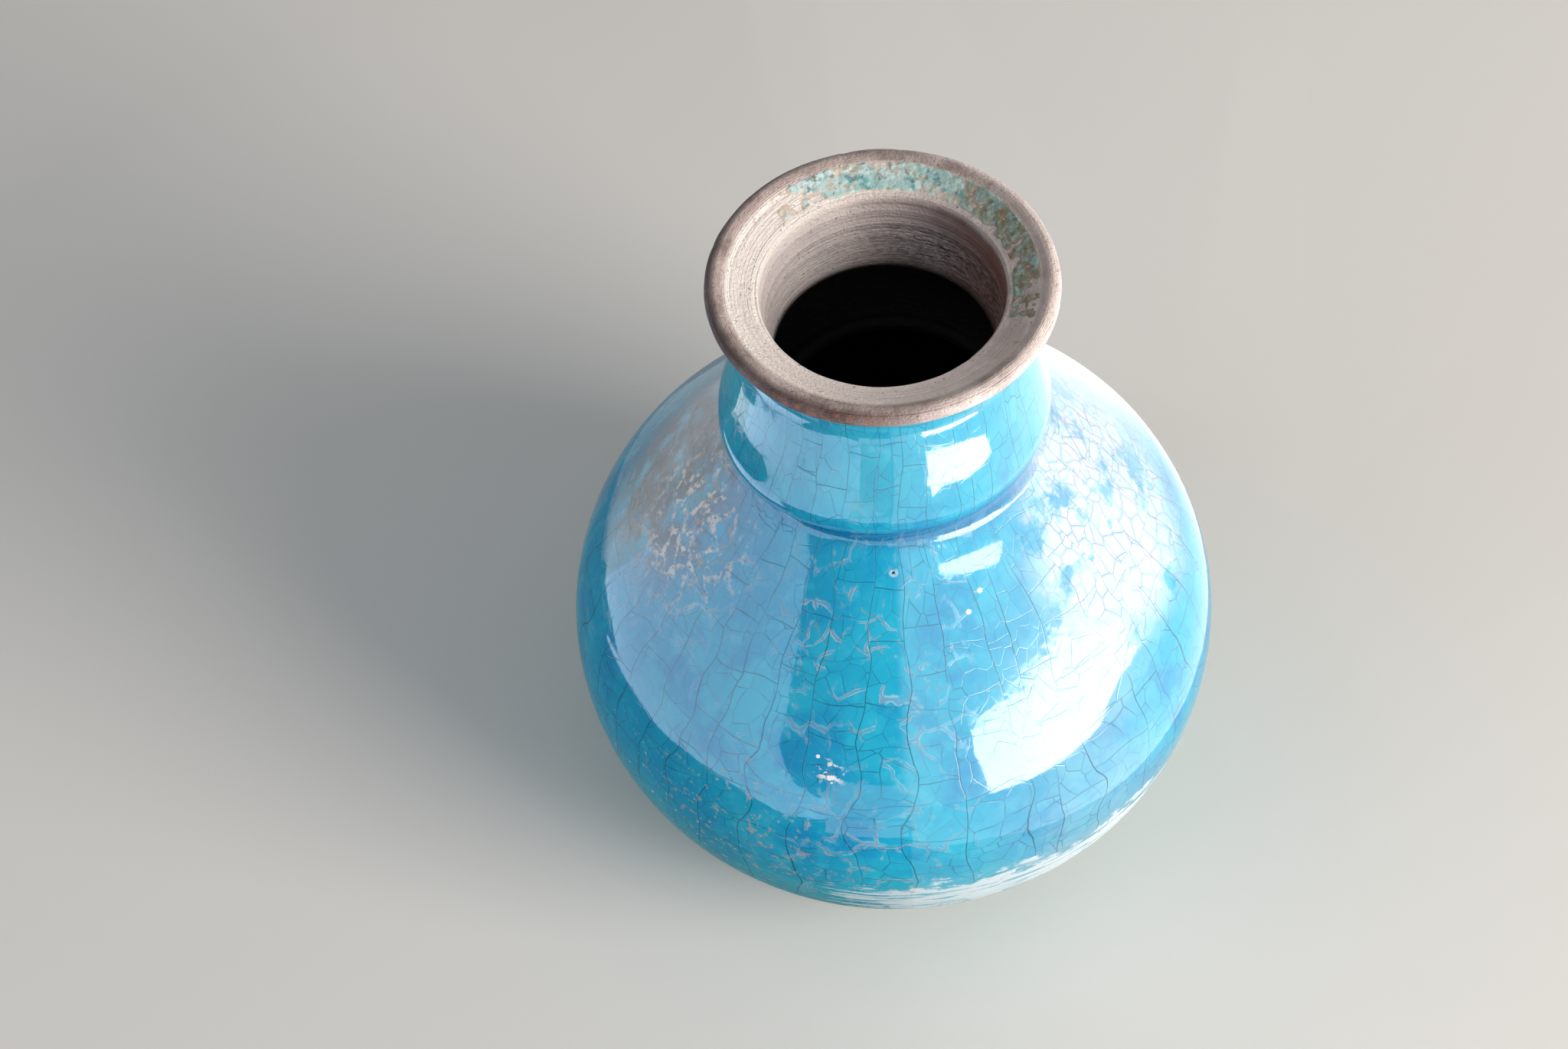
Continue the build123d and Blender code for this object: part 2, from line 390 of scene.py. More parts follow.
fired_clay = new_material("fired_brown_grey_clay")
place = in_millimetres(fired_clay)
height = put(fired_clay, "SeparateXYZ", {0: place}, "Z")
grain = patchy(fired_clay, place, 0.8, 0.3, 0.7, 3.0)
foot_top = 9.2
painted_shade_full = 9.7
colour = layered(
    fired_clay,
    "#6F5D55",
    ("#A08E86", patchy(fired_clay, place, 14, 0.35, 0.65)),
    ("#43362F", patchy(fired_clay, place, 1.6, 0.66, 0.72, 1.0)),
    # Painted shade: near black above the foot, for the inside of the jar where no light gets in
    ("#050404", between(fired_clay, height, foot_top, painted_shade_full)),
)
finished(
    fired_clay,
    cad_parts["body"].data,
    colour,
    roughness=0.82,
    way_out=relief(fired_clay, (grain, 0.2)),
)

# Luting slip. The same clay, thinned with water, that sticks the neck on the body: smoother,
# smeared round by a finger, and painted near black as the shade inside the jar.
wiped_slip = new_material("wiped_clay_slip")
place = in_millimetres(wiped_slip)
flat_place = put(
    wiped_slip, "VectorMath", {0: place, 1: (1.0, 1.0, 6.0)}, operation="MULTIPLY"
)
smears = patchy(wiped_slip, flat_place, 9, 0.3, 0.7)
# Painted shade: near black, as the slip sits in the unlit inside of the jar
colour = layered(wiped_slip, "#030202", ("#060505", smears))
finished(
    wiped_slip,
    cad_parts["luting_slip"].data,
    colour,
    roughness=0.75,
    way_out=relief(wiped_slip, (smears, 0.3)),
)

# Neck. Thrown apart from the body, set on the slip off the body's axis, and leaning to the left.
# Its lip is rolled, its mouth flared and dished, and its throat keeps faint rings of the thrower's
# finger. Lip and flare are bare brown clay with fine turned lines, worn pale inside the flare.
neck_place = np.array([-1.45, 0.0, 122.9])
neck_lean = math.radians(1.05)
neck_steps = 300
neck_up = np.array([-math.sin(neck_lean), 0.0, math.cos(neck_lean)])
neck_right = np.array([math.cos(neck_lean), 0.0, math.sin(neck_lean)])


def at_angle(centre, radius, degrees):
    """A point of a circle in a half section, at an angle above the outward horizontal."""
    angle = math.radians(degrees)
    return np.array(
        [centre[0] + radius * math.cos(angle), centre[1] + radius * math.sin(angle)]
    )


def swept(centre, radius, first, last, spacing):
    """Points of a half section along an arc, in mm, with the way out of the wall at each."""
    count = max(2, math.ceil(radius * abs(math.radians(last - first)) / spacing))
    angles = np.linspace(first, last, count, endpoint=False)
    points = np.array([at_angle(centre, radius, angle) for angle in angles])
    return points, (points - centre) / radius


def straight(start, end, out, spacing):
    """Points of a half section along a straight run, in mm, with the way out of the wall."""
    start, end = np.array(start), np.array(end)
    count = max(2, math.ceil(np.linalg.norm(end - start) / spacing))
    shares = np.linspace(0, 1, count, endpoint=False)[:, None]
    return start + shares * (end - start), np.repeat([out], count, 0)


def joined(*runs):
    """Runs of a half section, one after the other, with their ways out."""
    return tuple(np.concatenate(parts) for parts in zip(*runs))


def turned(section, angles, origin, right, up):
    """A half section turned about an axis: one row of points for each point of it."""
    out = np.outer(np.cos(angles), right) + np.outer(np.sin(angles), np.cross(up, right))
    return origin + section[:, 0, None, None] * out + section[:, 1, None, None] * up


def ripple(points, size_mm, seed):
    """Smooth noise from about -1 to 1 at each point, with waves of a real size in mm."""
    flat = points.reshape(-1, 3) / size_mm + seed
    values = [noise.noise(Vector(spot)) for spot in flat]
    return np.array(values).reshape(points.shape[:-1])


def ring_piece(name, points):
    """A closed piece made of rows of points, in mm, that go round and come back to the first."""
    rows, steps = points.shape[:2]
    step = np.arange(steps)
    beside = (step + 1) % steps
    row = np.arange(rows)[:, None] * steps
    above = (np.arange(1, rows + 1) % rows)[:, None] * steps
    faces = np.stack([row + step, row + beside, above + beside, above + step], -1)
    mesh = bpy.data.meshes.new(name)
    mesh.from_pydata(points.reshape(-1, 3) / 1000, [], faces.reshape(-1, 4).tolist())
    mesh.polygons.foreach_set("use_smooth", [True] * len(mesh.polygons))
    piece = bpy.data.objects.new(name, mesh)
    bpy.context.scene.collection.objects.link(piece)
    return piece


def keep_value(mesh, name, values):
    """Keeps a number at each vertex under a name that a material reads."""
    attribute = mesh.attributes.new(name, "FLOAT", "POINT")
    attribute.data.foreach_set("value", values.astype(np.float32).ravel())


under_centre = (27.3, 7.4)
under_round = 8.104
under_angle = -65.94
bulb_centre = (22.4, 7.4)
bulb_round = 13.0
breast_angle = 12.03
waist_centre = (42.0, 32.02)
waist_round = 11.3
lip_under_angle = -60.0


def neck_outside(amount, first_angle, left_bare, spacing):
    """The neck's outer line up to the lip, moved out by an amount, in mm."""
    waist_start = breast_angle + 180
    waist_end = lip_under_angle + 180 + left_bare
    waist, inward = swept(
        waist_centre, waist_round - amount, waist_start, waist_end, spacing
    )
    return joined(
        swept(under_centre, under_round + amount, first_angle, 0, spacing),
        swept(bulb_centre, bulb_round + amount, 0, breast_angle, spacing),
        straight(
            at_angle(bulb_centre, bulb_round + amount, breast_angle),
            at_angle(waist_centre, waist_round - amount, waist_start),
            at_angle((0, 0), 1, breast_angle),
            spacing,
        ),
        (waist, -inward),
    )


lip_centre = (35.2, 43.8)
lip_round = 2.3
lip_over_angle = 118.0
flare_centre = np.array([9.7, 91.9])
flare_end = np.array([26.7, 42.6])
throat_edge_centre = (26.7, 41.8)
throat_edge_round = 0.8
throat_top = (25.9, 41.8)
throat_foot = (23.7, 22.3)
throat_rings = 5
ring_depth = 0.16
hollow_swell = 4.4
neck_base = (30.6, 0.0)
neck_base_inside = (25.8, 0.0)
hidden_spacing = 2.5
lip_spacing = 0.3
edge_spacing = 0.25
throat_spacing = 0.4
hollow_spacing = 1.2
base_spacing = 1.6

outside = neck_outside(0, under_angle, 0, hidden_spacing)
lip = swept(lip_centre, lip_round, lip_under_angle, lip_over_angle, lip_spacing)
lip_over = at_angle(lip_centre, lip_round, lip_over_angle)
flare_radius = np.linalg.norm(lip_over - flare_centre)
flare_angles = [
    math.degrees(math.atan2(*(spot - flare_centre)[::-1])) for spot in (lip_over, flare_end)
]
flare, flare_in = swept(flare_centre, flare_radius, *flare_angles, lip_spacing)
throat_edge = swept(throat_edge_centre, throat_edge_round, 90, 180, edge_spacing)
throat, throat_out = straight(throat_top, throat_foot, (-1.0, 0.0), throat_spacing)
ring_share = np.linspace(0, throat_rings, len(throat), endpoint=False) % 1
throat[:, 0] += 4 * ring_depth * ring_share * (1 - ring_share)
hollow, hollow_out = straight(throat_foot, neck_base_inside, (-1.0, 0.0), hollow_spacing)
hollow_share = np.linspace(0, 1, len(hollow), endpoint=False)
hollow[:, 0] += 4 * hollow_swell * hollow_share * (1 - hollow_share)
base = straight(neck_base_inside, neck_base, (0.0, -1.0), base_spacing)
neck_line, neck_out = joined(
    outside, lip, (flare, -flare_in), throat_edge, (throat, throat_out), (hollow, hollow_out), base
)
neck_angles = np.linspace(0, 2 * np.pi, neck_steps, endpoint=False)
neck_points = turned(neck_line, neck_angles, neck_place, neck_right, neck_up)
neck_ways = turned(neck_out, neck_angles, np.zeros(3), neck_right, neck_up)

slow_wobble = 0.16
quick_wobble = 0.07
turning_pitch = 0.55
turning_depth = 0.08
dent_depth = 0.3
held_in = 0.2
fade_reach = 0.8


def clay_unevenness(points, along):
    """How far the bare clay stands out from its true line, in mm: the potter's slow wobble, the
    fine lines of turning, and small worn dents. It stays on the inner side of that line."""
    wobble = slow_wobble * ripple(points, 19, 3.1) + quick_wobble * ripple(points, 6, 8.7)
    lines = np.array([noise.noise(Vector((s / turning_pitch, 4.2, 1.3))) for s in along])
    lines = turning_depth * lines[:, None] * (0.6 + 0.8 * ripple(points, 15, 5.5))
    dents = -dent_depth * np.clip(ripple(points, 3.4, 12.9) - 0.42, 0, 1) / 0.4
    return wobble + lines + dents - held_in


steps_along = np.linalg.norm(np.diff(neck_line, axis=0, prepend=neck_line[:1]), axis=1)
neck_along = np.cumsum(steps_along)
bare_start = len(outside[0])
bare = slice(bare_start, len(neck_line) - len(hollow) - len(base[0]))
fade = np.clip((neck_along[bare] - neck_along[bare_start]) / fade_reach, 0, 1)[:, None]
uneven = np.zeros(neck_points.shape[:2])
uneven[bare] = fade * clay_unevenness(neck_points[bare], neck_along[bare])
neck = ring_piece("thrown_neck", neck_points + uneven[..., None] * neck_ways)
flare_first = neck_along[bare_start + len(lip[0])]
from_flare = np.repeat((neck_along - flare_first)[:, None], neck_steps, 1)
keep_value(neck.data, "from_flare", from_flare)

worn_clay = new_material("worn_turned_clay")
place = in_millimetres(worn_clay)
from_flare = put(worn_clay, "Attribute", out="Fac", attribute_name="from_flare")
worn_spread = put(worn_clay, "SeparateXYZ", {0: place}).node.outputs
sideways = worn_spread["X"]
fine_way = put(
    worn_clay, "CombineXYZ", {0: together(worn_clay, from_flare, 2.4), 1: 0.37, 2: 0.11}
)
drawn_way = put(
    worn_clay,
    "VectorMath",
    {0: place, 1: (0.02, 0.02, 0.02), 2: fine_way},
    operation="MULTIPLY_ADD",
)
turned_lines = patchy(worn_clay, drawn_way, 1.0, 0.3, 0.7, 2.0)
broad_lines = patchy(worn_clay, drawn_way, 3.4, 0.42, 0.58, 1.0)
streak_way = put(
    worn_clay, "VectorMath", {0: place, 1: (0.7, 0.7, 2.4)}, operation="MULTIPLY"
)
grain = patchy(worn_clay, place, 0.7, 0.3, 0.7, 3.0)
pale_wear = patchy(worn_clay, place, 7, 0.4, 0.62, 5.0)
in_flare = together(
    worn_clay,
    between(worn_clay, from_flare, 0.4, 2.0),
    between(worn_clay, from_flare, 9.2, 10.4, 1.0, 0.0),
)
on_the_left = between(worn_clay, sideways, 14, -20)
on_the_right = between(worn_clay, sideways, 2, 22)
in_throat = between(worn_clay, from_flare, 9.6, 12)
low_in_throat = together(
    worn_clay,
    between(worn_clay, from_flare, 14, 20),
    between(worn_clay, from_flare, 25, 29, 1.0, 0.35),
)
rusty_place = (-17.0, -33.0, 164.0)
from_rust = put(
    worn_clay, "VectorMath", {0: place, 1: rusty_place}, "Value", operation="DISTANCE"
)
off_left = between(worn_clay, on_the_left, 0.0, 1.0, 1.0, 0.25)
dark_lip = together(
    worn_clay,
    between(worn_clay, from_flare, -0.4, -3.0),
    between(worn_clay, sideways, 10, -12),
    patchy(worn_clay, place, 7, 0.3, 0.6, 4.0, 1.0, 0.75),
)
# Painted highlight: the outer lip paler on its right side, where the key lamp falls
painted_highlight_on_lip = together(
    worn_clay,
    between(worn_clay, from_flare, -0.4, -2.4),
    between(worn_clay, sideways, 2, 18),
    patchy(worn_clay, place, 6, 0.3, 0.6, 5.0, 0.75, 0.3),
)
bright_edge = together(
    worn_clay,
    on_the_left,
    between(worn_clay, from_flare, 8.5, 10),
    between(worn_clay, from_flare, 14, 11),
)
rusty_lip = together(
    worn_clay,
    between(worn_clay, from_rust, 8, 20, 1.0, 0.0),
    between(worn_clay, from_flare, -2.4, -4.0),
    patchy(worn_clay, place, 1.8, 0.46, 0.62, 5.0),
)
grooves = together(
    worn_clay,
    between(worn_clay, turned_lines, 0.3, 0.0),
    between(worn_clay, on_the_left, 0.0, 1.0, 0.28, 0.16),
)
pale_streaks = together(
    worn_clay,
    low_in_throat,
    patchy(worn_clay, streak_way, 1.1, 0.46, 0.6, 5.0),
    between(worn_clay, on_the_right, 0.0, 1.0, 0.7, 0.2),
)
dark_streaks = together(
    worn_clay, low_in_throat, off_left, patchy(worn_clay, streak_way, 1.3, 0.5, 0.64, 5.0)
)
colour = layered(
    worn_clay,
    "#84716C",
    ("#B29F99", patchy(worn_clay, place, 11, 0.36, 0.62)),
    ("#4A3029", dark_lip),
    ("#EADCD6", painted_highlight_on_lip),
    ("#E0D3CC", in_flare, 0.7),
    ("#FFF8F0", in_flare, on_the_left, between(worn_clay, pale_wear, 0.0, 1.0, 0.7, 1.0)),
    ("#DDD0C8", pale_wear, between(worn_clay, from_flare, -3.0, -1.0), 0.3),
    ("#A38F92", broad_lines, in_flare, between(worn_clay, on_the_left, 0.0, 1.0, 0.4, 0.18)),
    ("#F0DDD6", in_flare, between(worn_clay, worn_spread["Y"], -12, -26), 0.45),
    ("#F6EFEA", bright_edge, 0.8),
    ("#8C7768", in_flare, on_the_right, patchy(worn_clay, place, 5, 0.4, 0.56, 5.0), 0.3),
    ("#9A8B8D", in_throat, off_left, 0.6),
    ("#D6CFCF", between(worn_clay, from_flare, 11, 13), on_the_left, 0.7),
    ("#6C3F30", in_throat, on_the_right, 0.85),
    ("#9A583C", rusty_lip, 0.7),
    ("#A8643F", patchy(worn_clay, place, 4.5, 0.66, 0.74, 5.0), 0.5),
    ("#5A4C49", grooves),
    ("#3A2F2D", in_throat, off_left, between(worn_clay, broad_lines, 0.35, 0.0), 0.45),
    ("#CFC8C5", pale_streaks),
    ("#231D1C", dark_streaks, 0.7),
    ("#4A403C", patchy(worn_clay, place, 0.9, 0.7, 0.74, 1.0), 0.6),
    # Painted shade: the neck's hollow below the throat is near black, as no light gets in
    ("#050404", between(worn_clay, from_flare, 27.6, 29.2)),
)
finished(
    worn_clay,
    neck.data,
    colour,
    roughness=0.6,
    way_out=relief(worn_clay, (turned_lines, 0.12), (grain, 0.12)),
)
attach(neck, "root")
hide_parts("neck")

# Outer glaze. One coat of copper-turquoise alkaline glaze over belly, shoulder and neck, which
# rolled up above the bare foot, pooled blue under the neck and crazed as it cooled. Its blue under
# the neck is also darkened as painted shade. It is glassy, with thin dark cracks, pale healed
# ones, and dull silvery patches where it has decayed.
glaze_steps = 360
glaze_spacing = 0.86
glaze = 0.6
glaze_inside = -0.25
foot_centre = (29.77, 47.29)
foot_round = 43.77
coat_angle = -61.17
roll_radius = 1.2
lower_centre = (18.4, 51.5)
lower_round = 55.9
lower_sweep = 20.3
upper_centre = (24.3, 51.5)
upper_round = 50.0
upper_sweep = 36.89
shoulder_end = (34.2, 121.6)


def body_outside(amount, first_angle, spacing):
    """The body's outer line up to the top of the shoulder, moved out by an amount, in mm."""
    return joined(
        swept(foot_centre, foot_round + amount, first_angle, -lower_sweep, spacing),
        swept(lower_centre, lower_round + amount, -lower_sweep, 0, spacing),
        swept(upper_centre, upper_round + amount, 0, upper_sweep, spacing),
        straight(
            at_angle(upper_centre, upper_round + amount, upper_sweep),
            at_angle(shoulder_end, amount, upper_sweep),
            at_angle((0, 0), 1, upper_sweep),
            spacing,
        ),
    )


roll_centre = at_angle(foot_centre, foot_round, coat_angle)
roll_spacing = 0.42
pool_angle = -28.0
low_line, low_out = joined(
    swept(roll_centre, roll_radius, -170, coat_angle + 30, roll_spacing),
    body_outside(glaze, coat_angle + 1.8, glaze_spacing),
)
high_line, high_out = neck_outside(glaze, pool_angle, 2, glaze_spacing)
glaze_angles = np.linspace(0, 2 * np.pi, glaze_steps, endpoint=False)
upright = (np.zeros(3), np.array([1.0, 0, 0]), np.array([0, 0, 1.0]))
low_points = turned(low_line, glaze_angles, *upright)
low_ways = turned(low_out, glaze_angles, *upright)
high_points = turned(high_line, glaze_angles, neck_place, neck_right, neck_up)
high_ways = turned(high_out, glaze_angles, np.zeros(3), neck_right, neck_up)

# The pool between belly and neck, a soft hollow whose depth wanders as it goes round
pool_rows = 7
pull_up = 1.9
pull_down = 1.6
pool_start, pool_end = low_points[-1], high_points[0]
wander = 1 + 0.35 * ripple(pool_start, 14, 2.2)[:, None]
climb = low_points[-1] - low_points[-2]
climb = climb / np.linalg.norm(climb, axis=1)[:, None]
drop = high_points[1] - high_points[0]
drop = drop / np.linalg.norm(drop, axis=1)[:, None]
first_pull = pool_start + pull_up * wander * climb
last_pull = pool_end - pull_down * wander * drop
pool_share = np.linspace(0, 1, pool_rows + 2)[1:-1, None, None]
pool_points = (
    (1 - pool_share) ** 3 * pool_start
    + 3 * (1 - pool_share) ** 2 * pool_share * first_pull
    + 3 * (1 - pool_share) * pool_share**2 * last_pull
    + pool_share**3 * pool_end
)
pool_ways = (1 - pool_share) * low_ways[-1] + pool_share * high_ways[0]
pool_ways = pool_ways / np.linalg.norm(pool_ways, axis=2)[..., None]
outer_points = np.concatenate([low_points, pool_points, high_points])
outer_ways = np.concatenate([low_ways, pool_ways, high_ways])
row_steps = np.linalg.norm(np.diff(outer_points[:, 0], axis=0), axis=1)
coat_along = np.concatenate([[0], np.cumsum(row_steps)])
crease_along = coat_along[len(low_points) + pool_rows // 2]

# The coat is thinner here and there, never thicker at the belly, so that it keeps to its box.
# The roll at the foot swells and shrinks, and the neck bulges a little at its lower left.
squeezed = outer_points / np.array([60.0, 60.0, 6.5])
waves = ((0.17, outer_points, 30, 1.7), (0.04, squeezed, 1.0, 6.3), (0.03, outer_points, 7.5, 9.9))
change = 0
for depth, spots, size_mm, seed in waves:
    change = change - depth * (0.5 + 0.5 * ripple(spots, size_mm, seed))
roll_reach = 5.0
roll_swell = 0.35
rolled = np.clip(1 - coat_along / roll_reach, 0, 1)[:, None]
change = change + rolled * roll_swell * ripple(outer_points, 9, 4.4)
bulge_angle = math.radians(-141)
bulge_rise = 6.0
bulge_reach = 6.0
bulge_depth = 1.9
bulge_round = np.cos(glaze_angles - bulge_angle).clip(0, 1) ** 5
bulge_height = np.exp(-(((coat_along - crease_along - bulge_rise) / bulge_reach) ** 2))
bulge_height[: len(low_points)] = 0
change = change + bulge_depth * bulge_height[:, None] * bulge_round
outer_points = outer_points + change[..., None] * outer_ways

inside_spacing = (5.0, 6.0)
high_inside = neck_outside(glaze_inside, under_angle, 2, inside_spacing[0])[0][::-1]
low_inside = body_outside(glaze_inside, coat_angle, inside_spacing[1])[0][::-1]
coat = ring_piece(
    "turquoise_glaze_coat",
    np.concatenate(
        [
            outer_points,
            turned(high_inside, glaze_angles, neck_place, neck_right, neck_up),
            turned(low_inside, glaze_angles, *upright),
        ]
    ),
)
inner_rows = len(high_inside) + len(low_inside)
from_crease = np.append(coat_along, np.full(inner_rows, coat_along[-1])) - crease_along
keep_value(coat.data, "from_crease", np.repeat(from_crease[:, None], glaze_steps, 1))
coat_end = from_crease[-1]

crazed = new_material("crazed_turquoise_alkaline_glaze")
place = in_millimetres(crazed)
spread = put(crazed, "SeparateXYZ", {0: place}).node.outputs
from_crease = put(crazed, "Attribute", out="Fac", attribute_name="from_crease")
towards_front = put(crazed, "Math", {0: spread["Y"], 1: -1.0}, operation="MULTIPLY")
front_angle = put(
    crazed, "Math", {0: spread["X"], 1: towards_front}, operation="ARCTAN2"
)
# The way round, in mm at a middling radius, is 0 at the front and grows to the right
middling_radius = 60.0
round_way = together(crazed, front_angle, middling_radius)
unrolled = put(crazed, "CombineXYZ", {0: round_way, 1: from_crease})
slow_warp = put(
    crazed, "TexNoise", {"Vector": place, "Scale": 1 / 18.0, "Detail": 1.0}, "Color"
)
quick_warp = put(
    crazed, "TexNoise", {"Vector": place, "Scale": 1 / 4.0, "Detail": 2.0}, "Color"
)
bent = unrolled
for warp, reach in ((slow_warp, 9.0), (quick_warp, 0.7)):
    warp_links = {0: warp, 1: (reach, reach, 0.0), 2: bent}
    bent = put(crazed, "VectorMath", warp_links, operation="MULTIPLY_ADD")
bent = put(crazed, "SeparateXYZ", {0: bent}).node.outputs

# Cracks: long upright ones, level ones between them, and a fine net in each cell. They are drawn
# about twice as wide as real ones, so that they show in the render.
upright_gap = 9.5
level_gap = 13.0


def parting(way, gap_mm, shift):
    """Cracks across one way, a real gap apart: the distance to one, and its strip's own share."""
    scaled = put(crazed, "Math", {0: way, 1: 1 / gap_mm, 2: shift}, operation="MULTIPLY_ADD")
    links = {"W": scaled, "Scale": 1.0, "Randomness": 0.8}
    distance = put(
        crazed,
        "TexVoronoi",
        links,
        voronoi_dimensions="1D",
        feature="DISTANCE_TO_EDGE",
    )
    strip = put(
        crazed, "TexVoronoi", links, "Color", voronoi_dimensions="1D", feature="F1"
    )
    return together(crazed, distance, gap_mm), put(crazed, "SeparateColor", {0: strip})


upright_crack, strip = parting(bent["X"], upright_gap, 0.0)
level_crack, step = parting(bent["Y"], level_gap, together(crazed, strip, 40.0))
cell_shift = put(
    crazed, "CombineXYZ", {0: together(crazed, strip, 50.0), 1: together(crazed, step, 70.0)}
)
bent_way = put(crazed, "CombineXYZ", {0: bent["X"], 1: bent["Y"]})
fine_gap = 4.4
cell_way = put(
    crazed,
    "VectorMath",
    {0: bent_way, 1: (1 / fine_gap, 0.8 / fine_gap, 0.0), 2: cell_shift},
    operation="MULTIPLY_ADD",
)
cell_links = {"Vector": cell_way, "Scale": 1.0, "Randomness": 0.9}
fine_crack = put(
    crazed, "TexVoronoi", cell_links, voronoi_dimensions="2D", feature="DISTANCE_TO_EDGE"
)
fine_crack = together(crazed, fine_crack, fine_gap)
cell_share = put(
    crazed, "TexVoronoi", cell_links, "Color", voronoi_dimensions="2D", feature="F1"
)
cell_share = put(crazed, "SeparateColor", {0: cell_share})
back_seam = put(crazed, "Math", {0: round_way}, operation="ABSOLUTE")
crack_edge = (0.05, 0.19)
fine_edge = (0.04, 0.16)
seam_edge = (188.2, 188.4)
cracks = put(
    crazed,
    "Math",
    {
        0: together(
            crazed,
            between(crazed, upright_crack, *crack_edge, 1.0, 0.0),
            patchy(crazed, place, 16, 0.3, 0.55, 2.0, 1.0, 0.45),
        ),
        1: together(
            crazed,
            between(crazed, level_crack, *crack_edge, 1.0, 0.0),
            patchy(crazed, place, 13, 0.35, 0.6, 2.0, 0.9, 0.4),
        ),
    },
    operation="MAXIMUM",
)
faint_cracks = together(
    crazed,
    between(crazed, fine_crack, *fine_edge, 1.0, 0.0),
    patchy(crazed, place, 9, 0.42, 0.62, 3.0, 0.75, 0.25),
)
cracks = put(crazed, "Math", {0: cracks, 1: faint_cracks}, operation="MAXIMUM")
# One upright crack covers the line at the back where the pattern meets itself
seam_crack = between(crazed, back_seam, *seam_edge)
cracks = put(crazed, "Math", {0: cracks, 1: seam_crack}, operation="MAXIMUM")


def round_spot(centre, inner_mm, outer_mm, strength=1.0):
    """A round mark on the jar that fades out between two distances from its middle, in mm."""
    distance = put(
        crazed, "VectorMath", {0: place, 1: centre}, "Value", operation="DISTANCE"
    )
    return between(crazed, distance, inner_mm, outer_mm, strength, 0.0)


def most_of(*shares):
    """The largest of several shares."""
    largest = shares[0]
    for share in shares[1:]:
        largest = put(crazed, "Math", {0: largest, 1: share}, operation="MAXIMUM")
    return largest


# Healed cracks: pale raised seams about a millimetre wide with a bluer core, and finer pale ones
seam_gap = 6.4
worm_edge = (0.42, 0.56)
core_edge = (0.16, 0.28)
thin_edge = (0.08, 0.2)
cluster_spots = (
    ((-6, -46, 105), 12, 32, 1.0),
    ((-48, -18, 98), 14, 34, 1.0),
    ((-8, -74, 54), 12, 34, 0.8),
    ((3, -62, 88), 6, 20, 0.8),
)
seam_warp = put(
    crazed, "TexNoise", {"Vector": place, "Scale": 1 / 8.0, "Detail": 2.0}, "Color"
)
seam_way = put(
    crazed,
    "VectorMath",
    {0: seam_warp, 1: (9.0, 9.0, 0.0), 2: bent_way},
    operation="MULTIPLY_ADD",
)
seam_way = put(
    crazed,
    "VectorMath",
    {0: seam_way, 1: (1 / seam_gap, 0.85 / seam_gap, 0.0), 2: (7.3, 2.9, 0.0)},
    operation="MULTIPLY_ADD",
)
seam = put(
    crazed,
    "TexVoronoi",
    {"Vector": seam_way, "Scale": 1.0, "Randomness": 1.0},
    voronoi_dimensions="2D",
    feature="DISTANCE_TO_EDGE",
)
seam = together(crazed, seam, seam_gap)
clusters = most_of(
    *(round_spot(*spot) for spot in cluster_spots),
    patchy(crazed, place, 22, 0.54, 0.64, 2.0, 0.6),
)
clusters = together(crazed, clusters, between(crazed, spread["X"], 24, 12))
worm_gate = together(crazed, clusters, patchy(crazed, place, 6, 0.46, 0.58, 3.0))
worms = together(crazed, worm_gate, between(crazed, seam, *worm_edge, 1.0, 0.0))
worm_cores = together(crazed, worm_gate, between(crazed, seam, *core_edge, 1.0, 0.0))
thin_gate = together(crazed, clusters, patchy(crazed, place, 6, 0.52, 0.6, 3.0))
thin_worms = together(crazed, thin_gate, between(crazed, fine_crack, *thin_edge, 1.0, 0.0))

# Smoky stain at the left of the neck, decay at its right, pale streaks low at the front that are
# partly scratches and partly a painted reflection, pale flecks
stain_place = (-46, 0, 102)
gold_spots = (((-46, -12, 100), 10, 36), ((-34, -62, 55), 10, 34, 0.7))
flaked_place = (-42, -16, 103)
decay_place = (46, -8, 102)
streak_place = (28, -64, 38)
specked_place = (-54, -48, 38)
blister_spots = (
    ((18.7, -38.8, 110.8), 0.5, 0.7),
    ((16.3, -42.3, 107.8), 0.5, 0.7),
    ((-16.4, -62.7, 81.9), 0.4, 0.6),
)
pit_place = (0.1, -38.5, 116.9)
scar_place = (-13.6, -65.3, 79.2)
stain = together(
    crazed, round_spot(stain_place, 14, 36), patchy(crazed, place, 9, 0.32, 0.54, 6.0)
)
gold_flecks = together(
    crazed,
    most_of(*(round_spot(*spot) for spot in gold_spots)),
    patchy(crazed, place, 2.2, 0.58, 0.64, 4.0),
)
flaked_seams = together(
    crazed,
    round_spot(flaked_place, 8, 26),
    patchy(crazed, place, 5, 0.42, 0.54, 3.0),
    between(crazed, seam, 0.7, 1.1, 1.0, 0.0),
    patchy(crazed, place, 1.4, 0.44, 0.56, 3.0),
)
decay = together(
    crazed, round_spot(decay_place, 18, 36), patchy(crazed, place, 10, 0.36, 0.5, 5.0)
)
decay_net = together(crazed, decay, between(crazed, fine_crack, 0.2, 0.7, 1.0, 0.0))
streak_way = put(
    crazed, "VectorMath", {0: unrolled, 1: (0.07, 0.6, 0.0)}, operation="MULTIPLY"
)
frayed = put(
    crazed,
    "Math",
    {0: patchy(crazed, place, 6, 0.2, 0.8, 4.0), 1: 11.0, 2: spread["Z"]},
    operation="MULTIPLY_ADD",
)
streak_spot = round_spot(streak_place, 22, 50)
streak_lines = patchy(crazed, streak_way, 1.0, 0.2, 0.8, 6.0)
streak_lines = put(
    crazed, "Math", {0: streak_spot, 1: 0.4, 2: streak_lines}, operation="MULTIPLY_ADD"
)
